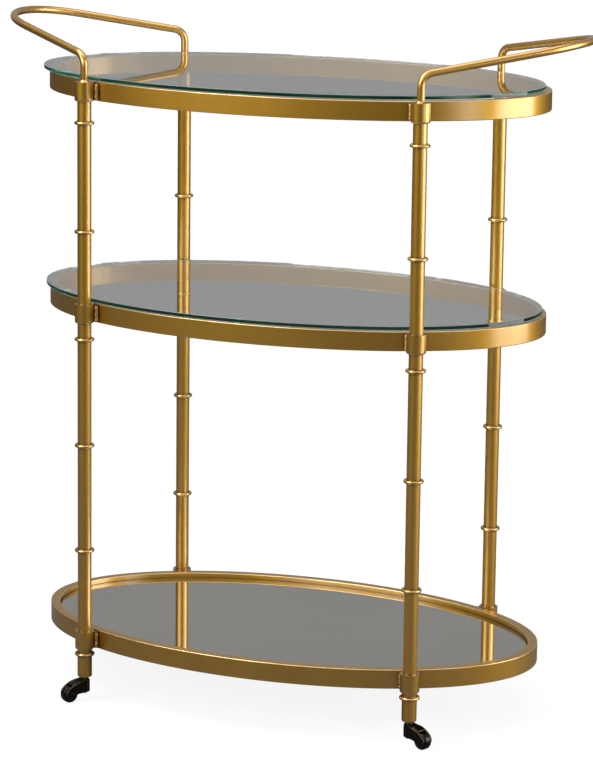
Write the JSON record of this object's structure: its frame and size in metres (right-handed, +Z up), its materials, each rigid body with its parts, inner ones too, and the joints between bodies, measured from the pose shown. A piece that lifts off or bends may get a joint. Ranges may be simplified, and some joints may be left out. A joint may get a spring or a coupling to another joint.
{
  "type": "bar cart",
  "caption": "Rolling oval bar cart: glass shelves over a mirrored base shelf in gold metal rings, on beaded posts with a rail handle at each end and swivel casters.",
  "frame": {"origin": "on the floor, under the middle of the cart", "axes": "+X along the cart's length to the right, -Y towards the front, +Z up"},
  "size_m": [0.7639, 0.372, 0.8552],
  "materials": {
    "ring_gold": "brushed antique gold",
    "collar_gold": "satin antique gold",
    "bead_gold": "polished antique gold",
    "post_gold": "satin antique gold",
    "handle_gold": "satin antique gold",
    "plain_steel": "bright zinc plate",
    "caster_bronze": "dark antique bronze",
    "wheel_bronze": "dark antique bronze",
    "shelf_glass": "clear float glass with ground edge",
    "clear_bumper": "clear soft plastic",
    "mirror_glass": "silvered mirror",
    "backing_board": "plain hardboard"
  },
  "bodies": {
    "cart_frame": {"beads_back_left": "bead_gold", "beads_back_right": "bead_gold", "beads_front_left": "bead_gold", "beads_front_right": "bead_gold", "bumpers_middle": "clear_bumper", "bumpers_top": "clear_bumper", "caster_sockets": "plain_steel", "collars_bottom": "collar_gold", "collars_middle": "collar_gold", "collars_top": "collar_gold", "foot_back_left": "post_gold", "foot_back_right": "post_gold", "foot_front_left": "post_gold", "foot_front_right": "post_gold", "foot_inserts": "plain_steel", "glass_middle": "shelf_glass", "glass_top": "shelf_glass", "handle_left": "handle_gold", "handle_right": "handle_gold", "joining_studs": "plain_steel", "lower_post_back_left": "post_gold", "lower_post_back_right": "post_gold", "lower_post_front_left": "post_gold", "lower_post_front_right": "post_gold", "lower_post_inserts": "plain_steel", "mirror": "mirror_glass", "mirror_backing": "backing_board", "ring_bottom": "ring_gold", "ring_middle": "ring_gold", "ring_top": "ring_gold", "shelf_screws": "plain_steel", "shelf_tabs": "plain_steel", "upper_post_back_left": "post_gold", "upper_post_back_right": "post_gold", "upper_post_front_left": "post_gold", "upper_post_front_right": "post_gold", "upper_post_inserts": "plain_steel"},
    "caster_front_left": {"caster_stem_front_left": "caster_bronze", "caster_horn_front_left": "caster_bronze", "caster_axle_front_left": "caster_bronze"},
    "wheel_front_left": {"caster_wheel_front_left": "wheel_bronze"},
    "caster_front_right": {"caster_stem_front_right": "caster_bronze", "caster_horn_front_right": "caster_bronze", "caster_axle_front_right": "caster_bronze"},
    "wheel_front_right": {"caster_wheel_front_right": "wheel_bronze"},
    "caster_back_left": {"caster_stem_back_left": "caster_bronze", "caster_horn_back_left": "caster_bronze", "caster_axle_back_left": "caster_bronze"},
    "wheel_back_left": {"caster_wheel_back_left": "wheel_bronze"},
    "caster_back_right": {"caster_stem_back_right": "caster_bronze", "caster_horn_back_right": "caster_bronze", "caster_axle_back_right": "caster_bronze"},
    "wheel_back_right": {"caster_wheel_back_right": "wheel_bronze"}
  },
  "joints": [
    {"name": "swivel_front_left", "type": "hinge", "parent": "cart_frame", "child": "caster_front_left", "pos_m": [-0.21706, -0.15296, 0.0303], "axis": [0, 0, 1], "continuous": true},
    {"name": "roll_front_left", "type": "hinge", "parent": "caster_front_left", "child": "wheel_front_left", "pos_m": [-0.22996, -0.17139, 0.0103], "axis": [-0.8192, 0.5736, 0], "continuous": true},
    {"name": "swivel_front_right", "type": "hinge", "parent": "cart_frame", "child": "caster_front_right", "pos_m": [0.21706, -0.15296, 0.0303], "axis": [0, 0, 1], "continuous": true},
    {"name": "roll_front_right", "type": "hinge", "parent": "caster_front_right", "child": "wheel_front_right", "pos_m": [0.23792, -0.16139, 0.0103], "axis": [-0.3746, -0.9272, 0], "continuous": true},
    {"name": "swivel_back_left", "type": "hinge", "parent": "cart_frame", "child": "caster_back_left", "pos_m": [-0.21706, 0.15296, 0.0303], "axis": [0, 0, 1], "continuous": true},
    {"name": "roll_back_left", "type": "hinge", "parent": "caster_back_left", "child": "wheel_back_left", "pos_m": [-0.2382, 0.16066, 0.0103], "axis": [0.342, 0.9397, 0], "continuous": true},
    {"name": "swivel_back_right", "type": "hinge", "parent": "cart_frame", "child": "caster_back_right", "pos_m": [0.21706, 0.15296, 0.0303], "axis": [0, 0, 1], "continuous": true},
    {"name": "roll_back_right", "type": "hinge", "parent": "caster_back_right", "child": "wheel_back_right", "pos_m": [0.23549, 0.16587, 0.0103], "axis": [0.5736, -0.8192, 0], "continuous": true}
  ]
}
